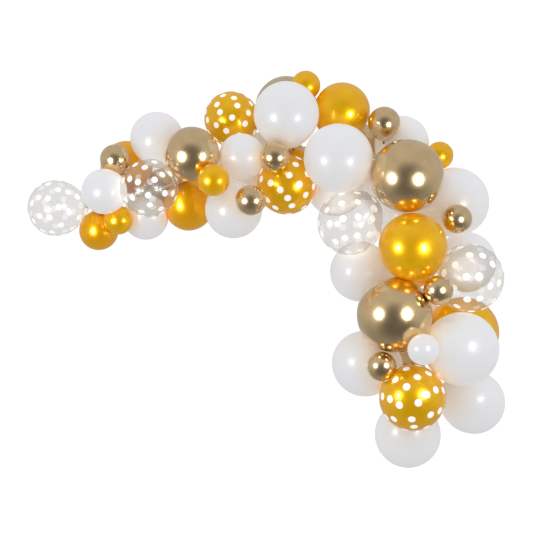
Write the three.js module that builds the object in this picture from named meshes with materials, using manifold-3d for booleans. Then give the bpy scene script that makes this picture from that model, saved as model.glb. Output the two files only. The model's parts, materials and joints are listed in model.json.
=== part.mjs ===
import * as THREE from 'three';
import { mergeVertices } from 'three/addons/utils/BufferGeometryUtils.js';
import Module from 'manifold-3d';

// A corner garland of air-filled balloons on one flat decorating tape, in millimetres.
// It is seen from -Y, with +X to the right and +Z up. The tape climbs from the left end of
// the arm, bends over the crown and hangs straight down as the leg on the right.

const wasm = await Module();
wasm.setup();

// Diameters of the three balloon sizes when they are full: 12 inch, 10 inch and 5 inch.
const LARGE = 300;
const MEDIUM = 250;
const SMALL = 125;

// Route of the tape, in the plane y = 0.
const ARM_LENGTH = 720;
const ARM_RISE = 18; // degrees above level
const BEND_RADIUS = 455;
const LEG_LENGTH = 525;

// The tape itself. Its hole places are evenly spaced, and the last one is in the lower end flap.
const TAPE_THICKNESS = 1;
const TAPE_EDGE = 3.4; // left on each side of a hole
const LAST_HOLE = 89;
const TAB_LENGTH = 34;
const END_BEND_RADIUS = 14;
const FLAP_BEND_STEPS = 2;
const FLAT_MARGIN = 3; // the tape stays flat this far past a hole
const MOST_TWIST = THREE.MathUtils.degToRad(60); // between two neighbouring sections of the tape

// Necks and knots.
const NECK_RADIUS = 3.2;
const NECK_LENGTH = 4; // free neck of a balloon that sits close to the tape
const KNOT_RADIUS = 5.6;
const KNOT_LENGTH = 10;
const KNOT_SHOULDER = 0.3; // share of the knot's length where it is widest
const HOLE_PLAY = 0.6;
const CLEARANCE = 0.3;
const GLUE_PRESS = 3; // how far a glued balloon is pressed into the one it sits on

// Shape of a blown-up balloon, as shares of its radius.
const TEARDROP = 1.16; // from the middle to the start of the neck
const PULL_POWER = 6; // how close to the neck the teardrop starts
const NECK_ROOT = 0.8; // where the neck starts inside the body
const SWELL = 1.028; // makes up for the flat faces of the ball
const NECK_SIDES = 4;

const FINISHES = {
  white: { name: 'white_balloon', color: 0xe2e2e6, roughness: 0.35, metalness: 0 },
  amber: { name: 'amber_balloon', color: 0xd9a21c, roughness: 0.3, metalness: 0.3 },
  chrome: { name: 'chrome_balloon', color: 0xa98f68, roughness: 0.12, metalness: 0.9 },
  clearDots: { name: 'clear_dotted_balloon', color: 0xdedad4, roughness: 0.1, metalness: 0 },
  amberDots: { name: 'amber_dotted_balloon', color: 0xcf920f, roughness: 0.25, metalness: 0.2 },
};

// Balloons tied to the tape: hole, finish, size, how full, clock angle round the tape in degrees
// (0 to the front, 90 to the outside of the bend, 180 to the back), slack of the neck, and how far
// the balloon leans along the tape from its hole. The two balloons at the ends hang past their
// flaps, and for them the last value is how far they stand aside of the tape's line.
const TIED = [
  [0, 'clearDots', MEDIUM, 0.89, 72, 0, 55],
  [1, 'amber', MEDIUM, 0.63, -122, 0, -45],
  [3, 'white', MEDIUM, 0.71, 26, 0, -5],
  [7, 'amber', MEDIUM, 0.85, 128, 45, -5],
  [8, 'white', MEDIUM, 0.74, -130, 0, -15],
  [10, 'clearDots', MEDIUM, 0.9, 0, 25, 5],
  [11, 'chrome', MEDIUM, 0.67, 176, 90, 10],
  [14, 'white', MEDIUM, 0.85, 88, 65, -10],
  [15, 'amber', MEDIUM, 0.81, -128, 0, 0],
  [19, 'chrome', MEDIUM, 0.85, 26, 40, -10],
  [21, 'white', MEDIUM, 0.73, 176, 60, -10],
  [22, 'white', MEDIUM, 0.9, -68, 55, 5],
  [25, 'white', MEDIUM, 0.75, -136, 45, 20],
  [26, 'white', MEDIUM, 0.72, 4, 10, 5],
  [27, 'amberDots', MEDIUM, 0.87, 96, 50, -10],
  [29, 'white', MEDIUM, 0.66, 168, 70, 0],
  [32, 'amberDots', MEDIUM, 0.94, -68, 16, 10],
  [33, 'amber', MEDIUM, 0.53, -172, 80, 40],
  [34, 'white', LARGE, 0.85, 46, 20, 10],
  [35, 'chrome', LARGE, 0.85, 128, 85, -10],
  [41, 'amber', MEDIUM, 0.9, 90, 35, 15],
  [43, 'white', LARGE, 0.89, -12, 15, -5],
  [45, 'white', MEDIUM, 0.94, -124, 5, -5],
  [47, 'chrome', MEDIUM, 0.62, 148, 100, -30],
  [49, 'white', MEDIUM, 0.68, -176, 70, 18],
  [50, 'white', MEDIUM, 0.88, 112, 59, 0],
  [53, 'clearDots', LARGE, 0.85, -68, 80, 5],
  [54, 'chrome', LARGE, 0.94, 18, 25, -15],
  [58, 'white', LARGE, 0.83, 176, 30, 10],
  [60, 'white', LARGE, 0.93, 98, 38, -15],
  [64, 'amber', LARGE, 0.88, -10, 30, 5],
  [66, 'amber', MEDIUM, 0.82, 180, 5, 25],
  [67, 'white', LARGE, 0.83, 124, 125, -5],
  [68, 'white', LARGE, 0.81, -104, 80, 10],
  [69, 'clearDots', LARGE, 0.9, 66, 56, 10],
  [75, 'chrome', LARGE, 0.97, -32, 25, 10],
  [76, 'white', LARGE, 0.87, -178, 40, 8],
  [79, 'amber', LARGE, 0.97, 120, 70, 0],
  [80, 'white', LARGE, 0.95, 46, 50, 25],
  [85, 'white', LARGE, 0.87, -88, 50, -25],
  [86, 'chrome', MEDIUM, 0.82, -168, 45, 16],
  [87, 'amberDots', LARGE, 0.85, -12, 25, 45],
  [88, 'white', LARGE, 0.84, 92, 80, 61],
  [LAST_HOLE, 'white', LARGE, 0.88, -146, 1, 50],
];

// Flat tabs of the tape, square to the back, at these hole places. The garland hangs by them.
const TAB_HOLES = [5, 38, 83];
const CROWN_TAB = 38;

// Small balloons glued to the front of a tied one: finish, how full, the hole of the tied one, and
// the way to them from its middle, as right and up parts of a unit direction that faces the front.
const GLUED = [
  ['amber', 0.92, 1, 0.68, 0.29],
  ['chrome', 0.95, 7, -0.16, 0.1],
  ['amber', 0.98, 19, 0.53, -0.65],
  ['chrome', 0.92, 32, -0.28, 0.57],
  ['amber', 0.93, 35, 0.41, 0.36],
  ['chrome', 0.93, 22, 0.41, 0.17],
  ['chrome', 1.02, 50, -0.5, 0.38],
  ['amber', 0.89, 50, 0.9, -0.34],
  ['chrome', 0.91, 60, -0.085, -0.385],
  ['chrome', 0.9, 75, 0.79, 0.48],
  ['white', 0.93, 75, 0.46, -0.62],
  ['chrome', 0.91, 85, 0.27, 0.02],
];

// Values that follow from the ones above.
const rise = THREE.MathUtils.degToRad(ARM_RISE);
const bendStartAngle = Math.PI / 2 + rise;
const bendLength = BEND_RADIUS * bendStartAngle;
const tapeLength = ARM_LENGTH + bendLength + LEG_LENGTH;
const holePitch = tapeLength / LAST_HOLE;
const holeRadius = NECK_RADIUS + HOLE_PLAY;
const tapeWidth = 2 * (holeRadius + TAPE_EDGE);
const flatHalf = holeRadius + FLAT_MARGIN;
const flapReach = END_BEND_RADIUS + holeRadius + TAPE_EDGE;
const FRONT = new THREE.Vector3(0, -1, 0);

// The tape's middle line at a distance from its start: a point, and the way the line runs there.
function tapeAt(along) {
  const angle = bendStartAngle - THREE.MathUtils.clamp(along - ARM_LENGTH, 0, bendLength) / BEND_RADIUS;
  const point = new THREE.Vector3(Math.cos(angle), 0, Math.sin(angle)).multiplyScalar(BEND_RADIUS);
  const tangent = new THREE.Vector3(Math.sin(angle), 0, -Math.cos(angle));
  const beforeBend = Math.min(along - ARM_LENGTH, 0);
  const pastBend = Math.max(along - ARM_LENGTH - bendLength, 0);
  point.addScaledVector(tangent, beforeBend + pastBend);
  return { point, tangent };
}

// A direction square to the tape, at a clock angle round it.
function clockDirection(tangent, clock) {
  const angle = THREE.MathUtils.degToRad(clock);
  const outward = new THREE.Vector3(-tangent.z, 0, tangent.x);
  return FRONT.clone().multiplyScalar(Math.cos(angle)).addScaledVector(outward, Math.sin(angle));
}

// Middle, radius and neck of each tied balloon. At an end of the tape the hole is in a flap that
// is bent square to the tape's line, so the balloon hangs on past the end.
function placeTied([hole, finish, size, fill, clock, slack, lean]) {
  const radius = (size / 2) * fill;
  const reach = TEARDROP * radius + NECK_LENGTH + slack;
  const { point, tangent } = tapeAt(hole * holePitch);
  const aside = clockDirection(tangent, clock);
  const balloon = { hole, finish, radius, aside };
  if (hole === 0 || hole === LAST_HOLE) {
    const outward = tangent.clone().multiplyScalar(hole === 0 ? -1 : 1);
    balloon.tie = point.clone().addScaledVector(outward, END_BEND_RADIUS).addScaledVector(aside, flapReach);
    balloon.centre = point.clone().addScaledVector(outward, END_BEND_RADIUS + reach);
    balloon.centre.addScaledVector(aside, lean);
    balloon.faceNormal = outward;
  } else {
    balloon.tie = point.clone();
    balloon.centre = point.clone().addScaledVector(aside, reach).addScaledVector(tangent, lean);
    balloon.faceNormal = aside;
  }
  balloon.neckAxis = balloon.tie.clone().sub(balloon.centre).normalize();
  return balloon;
}

// The knot of a tied balloon sits behind the tape, clear of it however the neck leans.
function tiedNeckEnd(balloon) {
  const lean = balloon.neckAxis.angleTo(balloon.faceNormal.clone().negate());
  const seat = TAPE_THICKNESS / 2 / Math.cos(lean) + KNOT_RADIUS * Math.tan(lean) + CLEARANCE;
  return balloon.centre.distanceTo(balloon.tie) + seat;
}

// A glued balloon's neck is tucked back towards the tape, beside the balloon that carries it.
function placeGlued([finish, fill, hole, right, up], tied) {
  const host = tied.find((balloon) => balloon.hole === hole);
  const toFront = Math.sqrt(Math.max(0, 1 - right * right - up * up));
  const direction = new THREE.Vector3(right, -toFront, up).normalize();
  const radius = (SMALL / 2) * fill;
  const centre = host.centre.clone().addScaledVector(direction, host.radius + radius - GLUE_PRESS);
  const inward = host.tie.clone().sub(centre);
  const sideways = inward.addScaledVector(direction, -inward.dot(direction)).normalize();
  const neckAxis = sideways.sub(direction).normalize();
  return { finish, radius, centre, neckAxis, small: true };
}

function toSolid(geometry) {
  const bare = geometry.clone();
  bare.deleteAttribute('normal');
  bare.deleteAttribute('uv');
  const merged = mergeVertices(bare);
  const corners = merged.index.array;
  const triVerts = [];
  for (let i = 0; i < corners.length; i += 3) {
    const [a, b, c] = [corners[i], corners[i + 1], corners[i + 2]];
    if (a !== b && b !== c && c !== a) {
      triVerts.push(a, b, c);
    }
  }
  const vertProperties = new Float32Array(merged.attributes.position.array);
  return new wasm.Manifold(new wasm.Mesh({ numProp: 3, vertProperties, triVerts: new Uint32Array(triVerts) }));
}

function toMesh(solid, name, material, origin) {
  const { numProp, vertProperties, triVerts } = solid.getMesh();
  const positions = new Float32Array((vertProperties.length / numProp) * 3);
  for (let i = 0; i < positions.length; i += 1) {
    positions[i] = vertProperties[Math.floor(i / 3) * numProp + (i % 3)];
  }
  const geometry = new THREE.BufferGeometry();
  geometry.setAttribute('position', new THREE.BufferAttribute(positions, 3));
  geometry.setIndex(new THREE.BufferAttribute(new Uint32Array(triVerts), 1));
  geometry.translate(-origin.x, -origin.y, -origin.z);
  geometry.computeVertexNormals();
  const mesh = new THREE.Mesh(geometry, material);
  mesh.name = name;
  mesh.position.copy(origin);
  return mesh;
}

// Turns a geometry from +Z to an axis and moves it to a point.
function aim(geometry, axis, point) {
  geometry.applyQuaternion(new THREE.Quaternion().setFromUnitVectors(new THREE.Vector3(0, 0, 1), axis));
  geometry.translate(point.x, point.y, point.z);
  return geometry;
}

// A ball of flat faces, drawn out into a teardrop towards the neck. The faces cut inside the true
// sphere, so the ball is swelled until it has the sphere's mean width.
function bodySolid(balloon) {
  const ball = new THREE.IcosahedronGeometry(1, 1);
  const goldenRatio = (1 + Math.sqrt(5)) / 2;
  ball.rotateX(-Math.atan(1 / goldenRatio)); // brings a corner onto the neck's axis
  const place = ball.attributes.position;
  const corner = new THREE.Vector3();
  for (let i = 0; i < place.count; i += 1) {
    corner.fromBufferAttribute(place, i).normalize();
    const pull = Math.max(0, corner.z) ** PULL_POWER;
    corner.multiplyScalar(balloon.radius * (SWELL + (TEARDROP - SWELL) * pull));
    place.setXYZ(i, corner.x, corner.y, corner.z);
  }
  return toSolid(aim(ball, balloon.neckAxis, balloon.centre));
}

// A form turned round a balloon's neck axis, from points at a radius and a distance from its middle.
function turnedSolid(balloon, profile) {
  const turned = new THREE.LatheGeometry(profile.map(([x, y]) => new THREE.Vector2(x, y)), NECK_SIDES);
  turned.rotateX(Math.PI / 2);
  return toSolid(aim(turned, balloon.neckAxis, balloon.centre));
}

// Neck and knot, grown by a margin where they are used to cut.
function neckSolid(balloon, margin) {
  const root = NECK_ROOT * balloon.radius;
  const end = balloon.neckEnd;
  return turnedSolid(balloon, [
    [0, root],
    [NECK_RADIUS + margin, root],
    [NECK_RADIUS + margin, end - margin],
    [KNOT_RADIUS + margin, end + KNOT_LENGTH * KNOT_SHOULDER],
    [0, end + KNOT_LENGTH + margin],
  ]);
}

// What a neck takes out of the tape.
function holeSolid(balloon) {
  const middle = balloon.centre.distanceTo(balloon.tie);
  const half = tapeWidth / 2;
  return turnedSolid(balloon, [
    [0, middle - half],
    [holeRadius, middle - half],
    [holeRadius, middle + half],
    [0, middle + half],
  ]);
}

// Where two balloons press on each other, both are flattened at the plane between them.
function flattenContacts(balloons) {
  for (let i = 0; i < balloons.length; i += 1) {
    for (let j = i + 1; j < balloons.length; j += 1) {
      const [one, two] = [balloons[i], balloons[j]];
      const between = two.centre.clone().sub(one.centre);
      const distance = between.length();
      if (distance < TEARDROP * (one.radius + two.radius)) {
        between.normalize();
        const toPlane = (distance ** 2 + one.radius ** 2 - two.radius ** 2) / (2 * distance);
        const planeOffset = one.centre.dot(between) + toPlane;
        const back = between.clone().negate();
        one.body = one.body.trimByPlane(back.toArray(), CLEARANCE / 2 - planeOffset);
        two.body = two.body.trimByPlane(between.toArray(), planeOffset + CLEARANCE / 2);
      }
    }
  }
}

// A body gives way to the neck and knot of any other balloon that reach into it.
function clearNecks(balloons) {
  for (const owner of balloons) {
    const tip = owner.centre.clone().addScaledVector(owner.neckAxis, owner.neckEnd + KNOT_LENGTH);
    const root = owner.centre.clone().addScaledVector(owner.neckAxis, NECK_ROOT * owner.radius);
    const neckLine = new THREE.Line3(root, tip);
    const nearest = new THREE.Vector3();
    for (const other of balloons) {
      neckLine.closestPointToPoint(other.centre, true, nearest);
      const near = TEARDROP * other.radius + KNOT_RADIUS + CLEARANCE;
      if (other !== owner && nearest.distanceTo(other.centre) < near) {
        other.body = other.body.subtract(owner.clearNeck);
      }
    }
  }
}

// Cross-sections of the tape: a middle point, the way its flat face looks, and its width direction.
function section(point, normal, widthway) {
  return { point, normal, widthway };
}

// The flap at an end of the tape: a bend from the tape's line up to a tip square to it. Its face
// keeps the way the tape already looks, which is along the aside direction or against it.
function endFlap(balloon, along, aside, looks) {
  const { point, tangent } = tapeAt(along);
  const widthway = new THREE.Vector3().crossVectors(tangent, aside).multiplyScalar(looks);
  const bendCentre = point.clone().addScaledVector(aside, END_BEND_RADIUS);
  const sections = [];
  for (let i = 0; i <= FLAP_BEND_STEPS; i += 1) {
    const turn = ((Math.PI / 2) * i) / FLAP_BEND_STEPS;
    const radial = aside.clone().multiplyScalar(-Math.cos(turn));
    radial.addScaledVector(balloon.faceNormal, Math.sin(turn));
    const middle = bendCentre.clone().addScaledVector(radial, END_BEND_RADIUS);
    sections.push(section(middle, radial.multiplyScalar(-looks), widthway));
  }
  const bent = sections[FLAP_BEND_STEPS];
  const tip = bent.point.clone().addScaledVector(aside, 2 * (flapReach - END_BEND_RADIUS));
  sections.push(section(tip, bent.normal, widthway));
  return sections;
}

// The tape twists between holes so that its face is square to each neck. Both faces are alike, so
// it never turns by more than a right angle from one hole to the next.
function tapeSections(tied) {
  const stations = tied.filter((balloon) => balloon.hole > 0 && balloon.hole < LAST_HOLE).map((balloon) => ({
    along: balloon.hole * holePitch,
    half: flatHalf,
    normal: balloon.faceNormal.clone(),
  }));
  for (const hole of TAB_HOLES) {
    stations.push({ along: hole * holePitch, half: TAB_LENGTH / 2, normal: FRONT.clone() });
  }
  stations.sort((a, b) => a.along - b.along);
  const [first, last] = [tied[0], tied[tied.length - 1]];
  const sections = endFlap(first, 0, first.aside, 1).reverse();
  let before = sections[sections.length - 1];
  for (const { along, half, normal } of stations) {
    const { point, tangent } = tapeAt(along);
    const face = normal.dot(before.normal) < 0 ? normal.clone().negate() : normal;
    const widthway = new THREE.Vector3().crossVectors(tangent, face).normalize();
    const enter = section(point.clone().addScaledVector(tangent, -half), face, widthway);
    const leave = section(point.clone().addScaledVector(tangent, half), face, widthway);
    sections.push(...twistBetween(before, enter), enter, leave);
    before = leave;
  }
  const looks = last.aside.dot(before.normal) < 0 ? -1 : 1;
  const end = endFlap(last, tapeLength, last.aside, looks);
  sections.push(...twistBetween(before, end[0]), ...end);
  return sections;
}

function twistBetween(before, after) {
  const turn = before.normal.angleTo(after.normal);
  const count = Math.max(0, Math.ceil(turn / MOST_TWIST) - 1);
  const extra = [];
  for (let i = 1; i <= count; i += 1) {
    const share = i / (count + 1);
    const point = before.point.clone().lerp(after.point, share);
    const normal = before.normal.clone().lerp(after.normal, share).normalize();
    const widthway = before.widthway.clone().lerp(after.widthway, share).normalize();
    extra.push(section(point, normal, widthway));
  }
  return extra;
}

function tapeSolid(tied) {
  const sections = tapeSections(tied);
  const corners = [[1, 1], [-1, 1], [-1, -1], [1, -1]];
  const positions = [];
  for (const { point, normal, widthway } of sections) {
    for (const [across, through] of corners) {
      const corner = point.clone().addScaledVector(widthway, (across * tapeWidth) / 2);
      corner.addScaledVector(normal, (through * TAPE_THICKNESS) / 2);
      positions.push(corner.x, corner.y, corner.z);
    }
  }
  const index = [];
  for (let i = 0; i < sections.length - 1; i += 1) {
    for (let side = 0; side < 4; side += 1) {
      const [a, b] = [4 * i + side, 4 * i + ((side + 1) % 4)];
      const [c, d] = [b + 4, a + 4];
      if (side < 2) {
        index.push(a, c, b, a, d, c);
      } else {
        index.push(a, d, b, d, c, b); // the same diagonal as on the face across, so a twist stays solid
      }
    }
  }
  const lastRing = 4 * (sections.length - 1);
  index.push(0, 1, 2, 0, 2, 3, lastRing, lastRing + 2, lastRing + 1, lastRing, lastRing + 3, lastRing + 2);
  const geometry = new THREE.BufferGeometry();
  geometry.setAttribute('position', new THREE.BufferAttribute(new Float32Array(positions), 3));
  geometry.setIndex(index);
  let solid = toSolid(geometry);
  for (const balloon of tied) {
    solid = solid.subtract(holeSolid(balloon));
  }
  return solid;
}

const tied = TIED.map(placeTied);
for (const balloon of tied) {
  balloon.neckEnd = tiedNeckEnd(balloon);
}
const glued = GLUED.map((row) => placeGlued(row, tied));
for (const balloon of glued) {
  balloon.neckEnd = TEARDROP * balloon.radius + NECK_LENGTH;
}
const balloons = [...tied, ...glued];
for (const balloon of balloons) {
  balloon.body = bodySolid(balloon);
  balloon.neck = neckSolid(balloon, 0);
  balloon.clearNeck = neckSolid(balloon, CLEARANCE);
}
flattenContacts(balloons);
clearNecks(balloons);

const garland = new THREE.Group();
garland.name = 'garland';
const crown = tapeAt(CROWN_TAB * holePitch).point;
garland.position.set(-crown.x, -TAPE_THICKNESS / 2, -crown.z);

const counts = {};
for (const balloon of balloons) {
  const { name, ...look } = FINISHES[balloon.finish];
  const stem = balloon.small ? `small_${name}` : name;
  counts[stem] = (counts[stem] ?? 0) + 1;
  const solid = balloon.body.add(balloon.neck);
  const label = `${stem}_${String(counts[stem]).padStart(2, '0')}`;
  garland.add(toMesh(solid, label, new THREE.MeshStandardMaterial(look), balloon.centre));
}

const tapeMaterial = new THREE.MeshStandardMaterial({ color: 0xd8dcdc, roughness: 0.2, metalness: 0 });
garland.add(toMesh(tapeSolid(tied), 'tape', tapeMaterial, crown));

export default garland;
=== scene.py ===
import json
import math

import bpy
import numpy as np
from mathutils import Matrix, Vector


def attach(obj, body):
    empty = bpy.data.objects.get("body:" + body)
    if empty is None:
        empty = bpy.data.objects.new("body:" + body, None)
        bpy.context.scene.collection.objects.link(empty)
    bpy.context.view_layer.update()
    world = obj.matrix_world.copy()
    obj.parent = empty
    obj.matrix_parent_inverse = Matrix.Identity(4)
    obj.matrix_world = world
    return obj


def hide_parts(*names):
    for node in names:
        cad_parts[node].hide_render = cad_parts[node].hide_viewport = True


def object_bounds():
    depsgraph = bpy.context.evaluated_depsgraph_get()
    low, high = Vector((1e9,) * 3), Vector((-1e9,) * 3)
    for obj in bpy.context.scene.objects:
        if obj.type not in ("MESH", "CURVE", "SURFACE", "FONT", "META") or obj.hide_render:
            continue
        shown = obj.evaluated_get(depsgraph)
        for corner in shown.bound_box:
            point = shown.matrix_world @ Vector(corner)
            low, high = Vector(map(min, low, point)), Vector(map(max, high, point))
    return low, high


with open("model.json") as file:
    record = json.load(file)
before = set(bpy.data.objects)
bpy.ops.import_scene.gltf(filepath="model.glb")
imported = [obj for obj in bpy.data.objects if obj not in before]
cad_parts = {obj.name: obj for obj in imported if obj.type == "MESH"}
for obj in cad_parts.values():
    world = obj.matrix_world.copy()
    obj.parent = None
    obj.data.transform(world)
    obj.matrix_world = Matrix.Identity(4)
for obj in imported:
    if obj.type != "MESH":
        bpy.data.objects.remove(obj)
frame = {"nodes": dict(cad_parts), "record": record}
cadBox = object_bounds()
rootBody = "root"
print("frame loaded:", len(frame["nodes"]), "nodes")


# Shader maths. A wire is one output socket, and sums on wires add Math nodes.
class Wire:
    def __init__(self, shader, socket):
        self.shader = shader
        self.socket = socket

    def sum(self, kind, *values):
        inputs = dict(enumerate((self,) + values))
        return self.shader.node("ShaderNodeMath", {"operation": kind}, inputs)

    def __add__(self, other):
        return self.sum("ADD", other)

    def __radd__(self, other):
        return self.sum("ADD", other)

    def __sub__(self, other):
        return self.sum("SUBTRACT", other)

    def __rsub__(self, other):
        return self.sum("MULTIPLY_ADD", -1.0, other)

    def __mul__(self, other):
        return self.sum("MULTIPLY", other)

    def __rmul__(self, other):
        return self.sum("MULTIPLY", other)

    def __pow__(self, other):
        return self.sum("POWER", other)

    def larger(self, other):
        return self.sum("MAXIMUM", other)


# Nodes of one material or of the world. Settings are set first, then the sockets by name or number.
class Shader:
    def __init__(self, owner):
        self.owner = owner
        owner.use_nodes = True
        self.tree = owner.node_tree
        self.tree.nodes.clear()

    def node(self, kind, settings=None, inputs=None, output=0):
        made = self.tree.nodes.new(kind)
        for key, value in (settings or {}).items():
            setattr(made, key, value)
        for key, value in (inputs or {}).items():
            if isinstance(value, Wire):
                self.tree.links.new(value.socket, made.inputs[key])
            else:
                made.inputs[key].default_value = value
        return Wire(self, made.outputs[output]) if made.outputs else None

    # Mix of two colours: the first at a share of 0, the second at 1. Their sockets are 6 and 7.
    def blend(self, share, first, second):
        inputs = {0: share, 6: first, 7: second}
        return self.node("ShaderNodeMix", {"data_type": "RGBA"}, inputs, output=2)

    def attribute(self, name):
        return self.node("ShaderNodeAttribute", {"attribute_name": name}, output="Fac")

    # Smooth step: 0 at the first edge, 1 at the second, with no corner between.
    def step(self, value, low, high):
        inputs = {"Value": value, "From Min": low, "From Max": high}
        return self.node("ShaderNodeMapRange", {"interpolation_type": "SMOOTHSTEP"}, inputs)

    # Fractal noise about a half, in the piece's own coordinates unless a place is given.
    def noise(self, scale, detail=2.0, place=None):
        place = place or self.node("ShaderNodeTexCoord", output="Object")
        inputs = {"Vector": place, "Scale": scale, "Detail": detail}
        return self.node("ShaderNodeTexNoise", {}, inputs)

    # A level that wanders over the skin: the level, plus the spread times the noise less a half.
    def wander(self, level, haze):
        return level + (self.noise(haze["scale"]) - 0.5) * haze["spread"]

    # A bump whose height is noise.
    def relief(self, grain):
        height = self.noise(grain["scale"])
        inputs = {"Height": height, "Strength": grain["strength"], "Distance": grain["depth"]}
        return self.node("ShaderNodeBump", {}, inputs)

    def skin(self, inputs):
        return self.finish(self.node("ShaderNodeBsdfPrincipled", {}, inputs))

    def finish(self, surface, kind="ShaderNodeOutputMaterial"):
        self.node(kind, {}, {"Surface": surface})
        return self.owner


# White latex: a soft, milky gloss, a little darker where it gathers at the neck.
whiteLatex = {
    "body": (0.735, 0.78, 0.855, 1),
    "gathered": (0.70, 0.68, 0.64, 1),
    "inside": (0.19, 0.16, 0.127, 1),  # painted glow that stands in for light scattered through the thin skin
    "paintedBounce": (0.92, 0.75, 0.54, 1),  # painted warm bounce light beside amber and chrome neighbours
    "paintedClearGlow": (0.62, 0.58, 0.52, 1),  # painted glow that stands in for light coming in through a clear neighbour
    "roughness": 0.36,
    "haze": {"scale": 9.0, "spread": 0.12},
    "specular": 0.2,
    "coat": 0.1,
    "coatIor": 1.7,
    "coatRoughness": 0.16,
    "grain": {"scale": 120.0, "strength": 0.04, "depth": 0.001},
}


def makeWhiteLatex():
    shader = Shader(bpy.data.materials.new("white_latex"))
    look = whiteLatex
    # Painted warm bounce light where amber or chrome neighbours are close.
    colour = shader.blend(shader.attribute("paintedWarmLight"), look["body"], look["paintedBounce"])
    return shader.skin({
        "Base Color": shader.blend(shader.attribute("stretch"), look["gathered"], colour),
        "Roughness": shader.wander(look["roughness"], look["haze"]),
        "Specular IOR Level": look["specular"],
        "Coat Weight": look["coat"],
        "Coat IOR": look["coatIor"],
        "Coat Roughness": look["coatRoughness"],
        # Painted glow: light through the thin skin, and more beside clear neighbours.
        "Emission Color": shader.blend(shader.attribute("clearness"), look["inside"], look["paintedClearGlow"]),
        "Emission Strength": 1.0,
        "Normal": shader.relief(look["grain"]),
    })


# Amber pearl latex: deep yellow with a fine metallic pearl, and brown where it gathers at the neck.
amberPearl = {
    "body": (0.93, 0.55, 0.001, 1),
    "deep": (0.86, 0.44, 0.0, 1),
    "ripe": (0.90, 0.41, 0.0, 1),
    "ripeShare": 0.8,
    "gathered": (0.42, 0.14, 0.002, 1),
    "inside": (1.0, 0.42, 0.0, 1),  # painted glow that stands in for light scattered through the skin
    "paintedGlowLevel": 0.09,
    "pearl": {"scale": 14.0, "detail": 4.0, "edges": (0.3, 0.75)},
    "metallic": 0.35,
    "roughness": 0.3,
    "haze": {"scale": 22.0, "spread": 0.1},
    "ior": 1.5,
    "coat": 0.4,
    "coatIor": 1.7,
    "coatRoughness": 0.14,
    "grain": {"scale": 90.0, "strength": 0.05, "depth": 0.001},
}
# Balloons of a deeper, more orange batch.
ripeBalloons = ("amber_balloon_01", "amber_balloon_02", "amber_balloon_03")


# Deep to light yellow by noise, then towards orange on ripe balloons, and brown in the gathers.
def pearlColour(shader, look):
    pearl = look["pearl"]
    share = shader.step(shader.noise(pearl["scale"], pearl["detail"]), *pearl["edges"])
    body = shader.blend(share, look["deep"], look["body"])
    body = shader.blend(shader.attribute("ripeness") * look["ripeShare"], body, look["ripe"])
    return shader.blend(shader.attribute("stretch"), look["gathered"], body)


def pearlInputs(shader, look, colour):
    return {
        "Base Color": colour,
        "Metallic": look["metallic"],
        "Roughness": shader.wander(look["roughness"], look["haze"]),
        "IOR": look["ior"],
        "Specular Tint": look["body"],
        "Coat Weight": look["coat"],
        "Coat IOR": look["coatIor"],
        "Coat Roughness": look["coatRoughness"],
        # Painted glow that stands in for light scattered through the skin.
        "Emission Color": look["inside"],
        "Emission Strength": look["paintedGlowLevel"],
        "Normal": shader.relief(look["grain"]),
    }


def makeAmberPearl():
    shader = Shader(bpy.data.materials.new("amber_pearl_latex"))
    return shader.skin(pearlInputs(shader, amberPearl, pearlColour(shader, amberPearl)))


# Champagne chrome latex: a mirror with a faint haze, and soft waves where the skin is uneven.
champagneChrome = {
    "body": (0.70, 0.52, 0.28, 1),
    "warm": (0.76, 0.55, 0.29, 1),
    "tintScale": 7.0,
    "gathered": (0.28, 0.20, 0.11, 1),
    "roughness": 0.21,
    "haze": {"scale": 10.0, "spread": 0.06},
    "coat": 0.55,
    "coatRoughness": 0.12,
    "waves": {"scale": 16.0, "strength": 0.12, "depth": 0.002},
}


def makeChampagneChrome():
    shader = Shader(bpy.data.materials.new("champagne_chrome_latex"))
    look = champagneChrome
    tint = shader.blend(shader.noise(look["tintScale"]), look["body"], look["warm"])
    return shader.skin({
        "Base Color": shader.blend(shader.attribute("stretch"), look["gathered"], tint),
        "Metallic": 1.0,
        "Roughness": shader.wander(look["roughness"], look["haze"]),
        "Coat Weight": look["coat"],
        "Coat Roughness": look["coatRoughness"],
        "Normal": shader.relief(look["waves"]),
    })


# Printed dots: the mesh carries each point's distance to the nearest dot's middle. All sizes are
# angles seen from the balloon's middle, in radians.
printedDots = {
    "rowStep": 0.36,
    "firstRow": 0.8,  # from the neck axis, in row steps
    "poleGap": 0.1,  # left bare at the far pole
    "dotStep": 0.72,
    "dotRadius": 0.116,
    "edge": 0.012,
    "turnStep": 0.7,  # from one balloon to the next
    "ink": (0.93, 0.93, 0.92, 1),
    "inside": (0.36, 0.36, 0.35, 1),  # painted glow that stands in for light scattered in the ink
}


# 1 inside a dot and 0 outside, eased over the width of its edge on both sides.
def dotMask(shader):
    radius = printedDots["dotRadius"]
    away = shader.attribute("dotDistance")
    return 1.0 - shader.step(away, radius - printedDots["edge"], radius + printedDots["edge"])


# Amber dotted latex: the pearl skin, a little glossier, under white ink, with its own painted glow.
amberDotted = dict(amberPearl, metallic=0.3, roughness=0.26, inside=(0.07, 0.03, 0, 1), paintedGlowLevel=1.0)


def makeAmberDotted():
    shader = Shader(bpy.data.materials.new("amber_dotted_latex"))
    look = amberDotted
    dots = dotMask(shader)
    colour = shader.blend(dots, pearlColour(shader, look), printedDots["ink"])
    inputs = pearlInputs(shader, look, colour)
    inputs["Metallic"] = look["metallic"] * (1.0 - dots)
    # Painted glow of the skin, and of the ink on the dots.
    inputs["Emission Color"] = shader.blend(dots, look["inside"], printedDots["inside"])
    return shader.skin(inputs)


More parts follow.
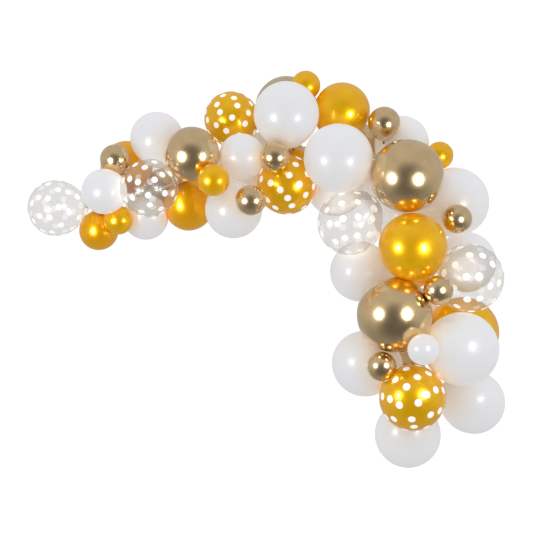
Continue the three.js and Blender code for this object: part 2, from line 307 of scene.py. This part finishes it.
# Clear film: see-through, a little milky, thicker to the eye at the rim and where it gathers.
clearFilm = {
    "film": (0.53, 0.505, 0.45, 1),
    "paintedWarmFilm": (0.66, 0.44, 0.22, 1),  # painted warm bounce light beside amber and chrome neighbours
    "unlit": (0, 0, 0, 1),
    "alpha": 0.24,
    "rim": 0.2,
    "rimPower": 3.0,
    "gatheredAlpha": 0.5,
    "dotAlpha": 0.97,
    "dotAlphaInside": 0.36,  # the print seen from inside, through the film
    "roughness": 0.2,
    "dotRoughness": 0.3,  # more than the film's
    "ior": 1.6,
    "coat": 0.3,
    "coatRoughness": 0.16,
}


def makeClearDotted():
    shader = Shader(bpy.data.materials.new("clear_dotted_film"))
    look = clearFilm
    dots = dotMask(shader)
    # Film colour with painted warm bounce light beside amber and chrome neighbours.
    film = shader.blend(shader.attribute("paintedWarmLight"), look["film"], look["paintedWarmFilm"])
    facing = shader.node("ShaderNodeLayerWeight", {}, {"Blend": 0.5}, output="Facing")
    milk = look["alpha"] + facing ** look["rimPower"] * look["rim"]
    gathered = (1.0 - shader.attribute("stretch")) * look["gatheredAlpha"]
    inside = shader.node("ShaderNodeNewGeometry", output="Backfacing")
    printed = dots * (look["dotAlpha"] + inside * (look["dotAlphaInside"] - look["dotAlpha"]))
    return shader.skin({
        "Base Color": shader.blend(dots, film, printedDots["ink"]),
        "Roughness": look["roughness"] + dots * look["dotRoughness"],
        "IOR": look["ior"],
        "Alpha": (milk + gathered).larger(printed),
        "Coat Weight": look["coat"],
        "Coat Roughness": look["coatRoughness"],
        # Painted glow on the dots alone, standing in for light scattered in the ink.
        "Emission Color": shader.blend(dots, look["unlit"], printedDots["inside"]),
        "Emission Strength": 1.0,
    })


# The decorating tape: clear plastic with a faint, fine grain.
tapeFilm = {
    "colour": (0.80, 0.83, 0.83, 1),
    "alpha": 0.6,
    "roughness": 0.22,
    "haze": {"scale": 60.0, "spread": 0.15},
    "coat": 0.5,
    "grain": {"scale": 300.0, "strength": 0.1, "depth": 0.0005},
}


def makeTapePlastic():
    shader = Shader(bpy.data.materials.new("tape_plastic"))
    look = tapeFilm
    return shader.skin({
        "Base Color": look["colour"],
        "Roughness": shader.wander(look["roughness"], look["haze"]),
        "Alpha": look["alpha"],
        "Coat Weight": look["coat"],
        "Normal": shader.relief(look["grain"]),
    })


# Shape of a balloon. Lengths and depths are shares of its radius unless a note says otherwise.
balloonShape = {
    "teardrop": 1.16,  # from the middle to the start of the neck
    "pullPower": 6.0,
    "shoulderAngle": 28.0,  # degrees from the neck axis, where finer rings begin
    "shoulderPower": 2.2,  # crowds those rings towards the neck
    "neckRadius": 0.0019,  # metres, with room in the tape's square hole
    "knotRadius": 0.0056,  # metres
    "knotLength": 0.010,  # metres
    "knotMiddle": 0.28,  # this and the next four are shares of the knot's length
    "knotSpread": 0.17,
    "lipMiddle": 0.86,
    "lipSpread": 0.1,
    "waistEdges": (0.35, 0.6),
    "waist": 0.4,  # taken from the neck's radius between knot and lip
    "lipRadius": 0.0046,  # metres
    "pleats": 13,
    "pleatDepth": 0.05,
    "gatherEdges": (1.0, 1.12),  # along the neck axis, as the next two
    "bodyEdges": (1.10, 1.17),
    "stretchEdges": (0.96, 1.16),
    "gatherFade": 0.002,  # metres, from the start of the knot
    "unevenness": 0.006,
    "waves": 3,
    "waveRate": 2.0,
    "contactGap": 0.00015,  # metres, each side
    "contactSoftness": 0.0016,  # metres
    "neckGap": 0.0012,  # metres, between a body and another balloon's neck or knot
    "neckPlaces": 40,
}
balloonGrid = {
    "outline": 400,  # places at which the body's curve is worked out
    "around": 80,
    "bodyRings": 46,
    "shoulderRings": 12,
    "neckRings": 5,
    "knotRings": 14,
    "steep": 0.8,  # a neck axis that rises more than this has its rings start from X, not Z
}

# How a packed balloon is told by its corners, in metres unless a note says otherwise.
packedBalloon = {
    "swell": 1.028,  # its ball's corners stand out by this factor
    "knotRing": 0.7,  # from the knot's ring of corners to its tip, as a share of the knot's length
    "leastRise": 0.01,  # along the axis, between two corners that fix a middle
    "back": (0.06, 0.5),  # from the tip to the middle
    "radius": (0.03, 0.17),
    "miss": 0.00002,
    "fewestVotes": 8,  # corners on the ball, for a sure fit
}


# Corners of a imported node, each one once.
def nodeCorners(node):
    mesh = frame["nodes"][node].data
    flat = np.empty(len(mesh.vertices) * 3)
    mesh.vertices.foreach_get("co", flat)
    return np.unique(flat.reshape(-1, 3).round(7), axis=0)


# Above the first limit and below the second.
def isBetween(value, limits):
    return (value > limits[0]) & (value < limits[1])


# A packed balloon's neck axis, middle and radius. The knot's tip is the corner whose four nearest
# corners are all a slant away, and the ring that they make gives the axis. Of all balls whose middle
# is on that axis and which pass through two corners, the one that passes through the most is the body.
def measureBalloon(node):
    corners = nodeCorners(node)
    spread = np.linalg.norm(corners[:, None] - corners[None], axis=2)
    nearest = np.sort(spread, axis=1)[:, 1:5]
    slant = math.hypot(balloonShape["knotRadius"], balloonShape["knotLength"] * packedBalloon["knotRing"])
    tipIndex = np.abs(nearest - slant).max(1).argmin()
    tip = corners[tipIndex]
    ring = corners[spread[tipIndex].argsort()[1:5]].mean(0)
    axis = (tip - ring) / np.linalg.norm(tip - ring)
    offset = corners - tip
    along = offset @ axis
    square = (offset ** 2).sum(1)
    one, two = np.triu_indices(len(corners), 1)
    usable = np.abs(along[one] - along[two]) > packedBalloon["leastRise"]
    one, two = one[usable], two[usable]
    back = (square[two] - square[one]) / (2.0 * (along[one] - along[two]))
    size = np.sqrt(np.maximum(square[one] + 2.0 * back * along[one] + back ** 2, 0))
    good = isBetween(back, packedBalloon["back"]) & isBetween(size, packedBalloon["radius"])
    back, size = back[good], size[good]
    reach = square[None] + 2.0 * back[:, None] * along[None] + back[:, None] ** 2
    miss = np.abs(np.sqrt(np.maximum(reach, 0)) - size[:, None])
    votes = (miss < packedBalloon["miss"]).sum(1)
    best = votes.argmax()
    return {
        "node": node,
        "axis": axis,
        "centre": tip - axis * back[best],
        "radius": size[best] / packedBalloon["swell"],
        "knotStart": back[best] - balloonShape["knotLength"],
        "votes": int(votes[best]),
    }


# Smooth step: three times the square of the share between the edges, less twice its cube.
def smoothStep(value, low, high):
    share = np.clip((value - low) / (high - low), 0.0, 1.0)
    return share * share * (3.0 - 2.0 * share)


# Outline of a balloon as radius and distance along the neck axis, from the far pole to the lip.
# Body: a circle drawn out towards the neck by the cosine to a high power. Neck: the fourth root of
# the summed fourth powers of body and neck radius, which joins them in a fillet. The knot is one
# round swelling, and the lip a smaller one that closes on the axis.
def balloonOutline(radius, knotStart):
    shape = balloonShape
    angle = np.linspace(math.pi, 0.0, balloonGrid["outline"])
    pull = np.maximum(np.cos(angle), 0.0) ** shape["pullPower"]
    reach = radius * (1.0 + (shape["teardrop"] - 1.0) * pull)
    ringRadius, height = reach * np.sin(angle), reach * np.cos(angle)
    bodyAngle = np.linspace(math.pi, math.radians(shape["shoulderAngle"]), balloonGrid["bodyRings"])
    bodyHeight = np.interp(-bodyAngle, -angle, height)
    top = shape["teardrop"] * radius
    down = np.linspace(1.0, 0.0, balloonGrid["shoulderRings"] + 1)[1:] ** shape["shoulderPower"]
    shoulder = top - (top - bodyHeight[-1]) * down
    neck = np.linspace(top, knotStart, balloonGrid["neckRings"] + 1)[1:]
    knot = knotStart + shape["knotLength"] * np.linspace(0.0, 1.0, balloonGrid["knotRings"] + 1)[1:]
    along = np.concatenate([bodyHeight, shoulder, neck, knot])
    body = np.interp(along, height, ringRadius, right=0.0)
    tube = np.where(along > 0, shape["neckRadius"], 0.0)
    share = (along - knotStart) / shape["knotLength"]
    swelling = np.exp(-((share - shape["knotMiddle"]) / shape["knotSpread"]) ** 2)
    lip = np.exp(-((share - shape["lipMiddle"]) / shape["lipSpread"]) ** 2)
    waist = shape["waist"] * smoothStep(share, *shape["waistEdges"])
    wide = (body ** 4 + tube ** 4) ** 0.25 - shape["neckRadius"] * waist
    wide += swelling * (shape["knotRadius"] - shape["neckRadius"])
    wide += lip * (shape["lipRadius"] - shape["neckRadius"] * (1.0 - shape["waist"]))
    wide[0] = 0.0
    wide[-1] = 0.0
    return wide, along


# Two directions square to an axis: the cross product of Z or X with it, and of it with that.
def crossAxes(axis):
    isSteep = abs(axis[2]) >= balloonGrid["steep"]
    side = np.cross((1.0, 0.0, 0.0) if isSteep else (0.0, 0.0, 1.0), axis)
    side /= np.linalg.norm(side)
    return side, np.cross(axis, side)


# Unit directions at an angle from the neck axis and a turn round it.
def directionsAt(angle, turn):
    parts = (np.sin(angle) * np.cos(turn), np.sin(angle) * np.sin(turn), np.cos(angle))
    return np.stack(np.broadcast_arrays(*parts), axis=-1)


# Middles of the printed dots: rings round the neck axis a row step apart, each with as many dots as
# its length holds, and every other ring turned by half a dot step.
def dotDirections(turn):
    step = printedDots["rowStep"]
    rings = np.arange(step * printedDots["firstRow"], math.pi - printedDots["poleGap"], step)
    rows = []
    for row, angle in enumerate(rings):
        count = max(1, round(2.0 * math.pi * math.sin(angle) / printedDots["dotStep"]))
        shares = (np.arange(count) + 0.5 * (row % 2)) / count
        rows.append(directionsAt(angle, turn + 2.0 * math.pi * shares))
    return np.concatenate(rows)


# Points past a plane are eased back to it: the new distance is minus the softness times the
# logarithm of one plus the exponential of minus the old distance over the softness.
def easeBack(points, isBody, centre, outward, reach):
    soft = balloonShape["contactSoftness"]
    beyond = (points - centre) @ outward - reach
    eased = -soft * np.logaddexp(0.0, -beyond / soft)
    return points + ((eased - beyond) * isBody)[..., None] * outward


# Where two balloons press on each other, both are flattened at the plane between them, on which the
# square of the distance to each middle less the square of that radius is the same.
def pressFlat(points, isBody, balloon, others):
    for other in others:
        between = other["centre"] - balloon["centre"]
        distance = np.linalg.norm(between)
        touching = balloonShape["teardrop"] * (balloon["radius"] + other["radius"])
        if other is not balloon and distance < touching:
            plane = (distance ** 2 + balloon["radius"] ** 2 - other["radius"] ** 2) / (2.0 * distance)
            reach = plane - balloonShape["contactGap"]
            points = easeBack(points, isBody, balloon["centre"], between / distance, reach)
    return points


# A body gives way to another balloon's neck and knot: wherever they reach into the teardrop, it is
# flattened at a plane that faces that place of the neck and keeps a gap to it.
def giveWay(points, isBody, balloon, others):
    shape = balloonShape
    for other in others:
        if other is not balloon:
            tip = other["knotStart"] + shape["knotLength"]
            along = np.linspace(shape["teardrop"] * other["radius"], tip, shape["neckPlaces"])
            places = other["centre"] + along[:, None] * other["axis"] - balloon["centre"]
            distance = np.linalg.norm(places, axis=1)
            outward = places / distance[:, None]
            pull = np.maximum(outward @ balloon["axis"], 0.0) ** shape["pullPower"]
            reach = balloon["radius"] * (1.0 + (shape["teardrop"] - 1.0) * pull)
            thickness = np.where(along > other["knotStart"], shape["knotRadius"], shape["neckRadius"])
            room = distance - thickness - shape["neckGap"]
            for i in np.flatnonzero(room < reach):
                points = easeBack(points, isBody, balloon["centre"], outward[i], room[i])
    return points


# A balloon as a grid of rings round its neck axis. Gathers: the neck's radius times one plus a depth
# times the cosine of the turn times the number of pleats. Unevenness: the body's distance from its
# middle times one plus the mean of a few slow sine waves of the direction.
def balloonPoints(balloon, others, seed):
    shape = balloonShape
    random = np.random.default_rng(seed)
    wide, along = balloonOutline(balloon["radius"], balloon["knotStart"])
    around = balloonGrid["around"]
    spin = 2.0 * math.pi * np.arange(around) / around
    side, up = crossAxes(balloon["axis"])
    share = along / balloon["radius"]
    fade = smoothStep(along, balloon["knotStart"], balloon["knotStart"] + shape["gatherFade"])
    gather = smoothStep(share, *shape["gatherEdges"]) * (1.0 - fade)
    folds = np.cos(shape["pleats"] * spin + random.uniform(0, 6))
    radius = wide[:, None] * (1.0 + shape["pleatDepth"] * gather[:, None] * folds)
    ringDirection = np.cos(spin)[:, None] * side + np.sin(spin)[:, None] * up
    points = radius[..., None] * ringDirection + along[:, None, None] * balloon["axis"]
    isBody = np.repeat((1.0 - smoothStep(share, *shape["bodyEdges"]))[:, None], around, axis=1)
    waves = random.normal(size=(shape["waves"], 3))
    direction = points / np.maximum(np.linalg.norm(points, axis=2, keepdims=True), 1e-6)
    uneven = sum(np.sin(direction @ wave * shape["waveRate"] + i) for i, wave in enumerate(waves))
    uneven *= shape["unevenness"] / shape["waves"]
    points = points * (1.0 + uneven * isBody)[..., None] + balloon["centre"]
    points = pressFlat(points, isBody, balloon, others)
    points = giveWay(points, isBody, balloon, others)
    return points, np.arctan2(wide, along), spin, 1.0 - smoothStep(share, *shape["stretchEdges"])


# Light that a balloon takes from its neighbours, as painted shares at each point.
neighbours = {
    "coloured": 0.75,  # share of painted warm bounce light where an amber or chrome neighbour touches
    # a smaller share of painted bounce light beside white neighbours
    "white": 0.25,
    "reach": 0.02,  # metres
}


# Painted shares of warm bounce light from coloured neighbours, and a little from white ones, and of painted
# light let in by clear ones, at each point. They fall off exponentially with the distance to the neighbour's
# surface.
def neighbourLight(points, balloon, others):
    light = {"paintedWarmLight": np.zeros(points.shape[:2]), "clearness": np.zeros(points.shape[:2])}
    for other in others:
        if other is not balloon:
            away = np.linalg.norm(points - other["centre"], axis=2) - other["radius"]
            near = np.exp(-np.maximum(away, 0.0) / neighbours["reach"])
            if "clear" in other["node"]:
                light["clearness"] += near
            else:
                light["paintedWarmLight"] += near * neighbours["white" if "white" in other["node"] else "coloured"]
    return {key: np.minimum(value, 1.0) for key, value in light.items()}


# Faces of a grid of rings whose first and last ring are single points: triangles at both ends and
# quads between, with each face's uv as turn round the axis and place along it.
def ringFaces(rings, around, uvAcross):
    column = np.arange(around)
    following = (column + 1) % around
    start = 1 + np.arange(rings - 3)[:, None] * around
    lastRing = 1 + (rings - 3) * around
    tipIndex = np.full(around, lastRing + around)
    first = np.stack([np.zeros(around, int), following + 1, column + 1], -1)
    corners = (start + column, start + following, start + around + following, start + around + column)
    quads = np.stack(corners, -1).reshape(-1, 4)
    final = np.stack([lastRing + column, lastRing + following, tipIndex], -1)
    left, right = column / around, (column + 1) / around
    middle = (left + right) / 2
    ends = np.repeat(uvAcross[[0, 1, -2, -1], None], around, axis=1)
    left2, low, right2, high = np.broadcast_arrays(left, uvAcross[1:-2, None], right, uvAcross[2:-1, None])
    uv = (
        np.stack([middle, ends[0], right, ends[1], left, ends[1]], -1),
        np.stack([left2, low, right2, low, right2, high, left2, high], -1),
        np.stack([left, ends[2], right, ends[2], middle, ends[3]], -1),
    )
    return first.tolist() + quads.tolist() + final.tolist(), np.concatenate([part.ravel() for part in uv])


# Puts a grid of rings into a mesh. Both ends of the grid are single points on the axis.
def ringMesh(name, points, uvAcross, attributes):
    faces, uv = ringFaces(*points.shape[:2], uvAcross)
    vertices = np.concatenate([points[0, :1], points[1:-1].reshape(-1, 3), points[-1, :1]])
    mesh = bpy.data.meshes.new(name)
    mesh.from_pydata(vertices.tolist(), [], faces)
    mesh.polygons.foreach_set("use_smooth", np.ones(len(faces), bool))
    mesh.uv_layers.new(name="skin").data.foreach_set("uv", uv)
    for key, values in attributes.items():
        flat = np.concatenate([values[0, :1], values[1:-1].ravel(), values[-1, :1]])
        mesh.attributes.new(key, "FLOAT", "POINT").data.foreach_set("value", flat.astype(np.float32))
    mesh.update()
    made = bpy.data.objects.new(name, mesh)
    bpy.context.scene.collection.objects.link(made)
    return made


# One balloon's piece, with the attributes that its material reads: stretch is 1 on the body and 0
# where it gathers, and a dot's distance is the arc cosine of the nearest dot's scalar product.
def makeBalloon(balloon, others, material, seed):
    node = balloon["node"]
    points, angle, spin, stretch = balloonPoints(balloon, others, seed)
    attributes = {"stretch": np.repeat(stretch[:, None], len(spin), axis=1)}
    if "white" in node or "clear" in node:
        # painted bounce light and painted light through clear neighbours
        attributes.update(neighbourLight(points, balloon, others))
    if node in ripeBalloons:
        attributes["ripeness"] = np.ones_like(attributes["stretch"])
    if "dotted" in node:
        dots = dotDirections(printedDots["turnStep"] * seed)
        nearness = (directionsAt(angle[:, None], spin) @ dots.T).max(-1)
        attributes["dotDistance"] = np.arccos(np.clip(nearness, -1.0, 1.0))
    piece = ringMesh("skin_" + node, points, angle / math.pi, attributes)
    piece.data.materials.append(material)
    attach(piece, rootBody)
    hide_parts(node)
    if "clear" in node:  # thin film hardly shades what is behind it
        piece.visible_shadow = False
        piece.visible_diffuse = False


materials = {
    "white_latex": makeWhiteLatex(),
    "amber_latex": makeAmberPearl(),
    "champagne_latex": makeChampagneChrome(),
    "clear_dotted_film": makeClearDotted(),
    "amber_dotted_latex": makeAmberDotted(),
    "tape_plastic": makeTapePlastic(),
}
slotOfNode = {row["node"]: row["material_slot"] for row in frame["record"]["subparts"]}
balloons = [measureBalloon(node) for node in sorted(frame["nodes"]) if "balloon" in node]
for balloon in balloons:
    if balloon["votes"] < packedBalloon["fewestVotes"]:
        print("weak fit:", balloon["node"], balloon["votes"], round(balloon["radius"], 4))
print("balloons measured:", len(balloons))
for number, balloon in enumerate(balloons, start=1):
    slotName = slotOfNode[balloon["node"]]
    makeBalloon(balloon, balloons, materials[slotName], number)
print("balloons made")

tape = frame["nodes"]["tape"]
tape.data.materials.clear()
tape.data.materials.append(materials["tape_plastic"])
print("tape finished")

# Studio: a white floor below, two soft boxes of three lamps each in front, and a bright room that is
# dimmer behind the camera. Lit is the room that lights the balloons, mirrored the one they reflect.
studio = {
    "floorDrop": 0.6,  # below the garland's lowest point
    "floorSize": 60.0,
    "glow": 1.05,  # floor and room, as the camera sees them
    "boxAside": (-1.42, 1.3),
    "boxAway": 1.5,
    "boxDrop": 0.05,  # below the photo's middle
    "boxScale": (1.15, 0.88),
    "lampStep": 0.03,  # each lamp of a box stands this far behind the one before
    "lamps": {
        "soft_box": {"size": (0.36, 0.4), "power": 0.7, "lights": True},
        "core": {"size": (0.28, 0.31), "power": 24.0, "lights": False},  # only reflected, as the next
        "glint": {"size": (0.85, 0.95), "power": 18.0, "lights": False},
    },
    "lit": {"wall": 0.84, "top": 0.87, "low": 0.66, "dim": 0.69, "behind": 0.66},
    "mirrored": {"wall": 0.58, "top": 0.60, "low": 0.32, "dim": 0.15, "behind": 0.5},
    "edges": {"top": (0.1, 0.9), "low": (0.0, -0.8), "dim": (0.3, 0.92), "behind": (0.35, 1.0)},
    "dimTowards": (0.0, -0.94, -0.34),
    "unevenness": 0.48,  # of the mirrored room
    "blotchScale": 2.2,
}
# The photo is 533 pixels square, a pixel is 4 mm in the plane of the tape, and its middle is at this
# x and z.
photo = {"size": 533, "pixel": 0.004, "away": 4.5, "middle": (-0.1774, -0.4721)}


# A square of even light that the camera alone sees.
def makeFloor():
    low = cadBox[0].z - studio["floorDrop"]
    half = studio["floorSize"] / 2
    mesh = bpy.data.meshes.new("floor")
    corners = [(-half, -half, low), (half, -half, low), (half, half, low), (-half, half, low)]
    mesh.from_pydata(corners, [], [(0, 1, 2, 3)])
    floor = bpy.data.objects.new("floor", mesh)
    bpy.context.scene.collection.objects.link(floor)
    shader = Shader(bpy.data.materials.new("floor_white"))
    mesh.materials.append(shader.finish(shader.node("ShaderNodeEmission", {}, {"Strength": studio["glow"]})))
    floor.visible_glossy = False
    floor.visible_diffuse = False
    floor.visible_transmission = False


# One oval lamp that faces the garland. Its sides grow with the scale, and its power with the square.
def makeLamp(name, lamp, aside, away, scale):
    data = bpy.data.lights.new(name, "AREA")
    data.shape = "ELLIPSE"
    data.size, data.size_y = lamp["size"][0] * scale, lamp["size"][1] * scale
    data.energy = lamp["power"] * scale ** 2
    made = bpy.data.objects.new(name, data)
    made.location = (photo["middle"][0] + aside, -away, photo["middle"][1] - studio["boxDrop"])
    made.rotation_euler = (math.radians(90), 0, math.atan2(aside, studio["boxAway"]))
    made.visible_diffuse = lamp["lights"]
    bpy.context.scene.collection.objects.link(made)


# The room's light by direction: wall at the level of the eye, then eased in turn to each place's
# own level. The camera sees the even glow, and mirrors see the mirrored levels with soft blotches.
def makeRoom():
    bpy.context.scene.world = bpy.data.worlds.new("room")
    room = Shader(bpy.context.scene.world)
    direction = room.node("ShaderNodeTexCoord", output="Generated")
    height = room.node("ShaderNodeSeparateXYZ", {}, {0: direction}, output="Z")
    depth = room.node("ShaderNodeSeparateXYZ", {}, {0: direction}, output="Y")
    towards = {0: direction, 1: studio["dimTowards"]}
    dimness = room.node("ShaderNodeVectorMath", {"operation": "DOT_PRODUCT"}, towards, output="Value")
    edges = studio["edges"]
    levels = {}
    for key in ("lit", "mirrored"):
        look = studio[key]
        level = room.step(height, *edges["top"]) * (look["top"] - look["wall"]) + look["wall"]
        for place, value in (("low", height), ("dim", dimness), ("behind", depth)):
            level = level + room.step(value, *edges[place]) * (look[place] - level)
        levels[key] = level
    blotches = room.noise(studio["blotchScale"], place=direction)
    levels["mirrored"] = levels["mirrored"] * (1.0 + (blotches - 0.5) * studio["unevenness"])
    mirrored = room.node("ShaderNodeLightPath", output="Is Glossy Ray")
    seen = room.node("ShaderNodeLightPath", output="Is Camera Ray")
    level = levels["lit"] + mirrored * (levels["mirrored"] - levels["lit"])
    level = level + seen * (studio["glow"] - level)
    background = room.node("ShaderNodeBackground", {}, {"Color": (1, 1, 1, 1), "Strength": level})
    room.finish(background, "ShaderNodeOutputWorld")


# The camera's lens shows the photo's width at its distance from the tape.
def makeCamera():
    data = bpy.data.cameras.new("camera")
    half = photo["size"] / 2 * photo["pixel"]
    data.sensor_width = 36.0
    data.lens = data.sensor_width / 2 * photo["away"] / half
    camera = bpy.data.objects.new("camera", data)
    camera.location = (photo["middle"][0], -photo["away"], photo["middle"][1])
    camera.rotation_euler = (math.radians(90), 0, 0)
    bpy.context.scene.collection.objects.link(camera)
    bpy.context.scene.camera = camera


makeFloor()
for side, aside, scale in zip(("left", "right"), studio["boxAside"], studio["boxScale"]):
    for place, (kind, lamp) in enumerate(studio["lamps"].items()):
        away = studio["boxAway"] + place * studio["lampStep"]
        makeLamp(kind + "_" + side, lamp, aside, away, scale)
makeRoom()
makeCamera()
bpy.context.scene.view_settings.view_transform = "Standard"
print("studio ready")

bpy.context.view_layer.update()
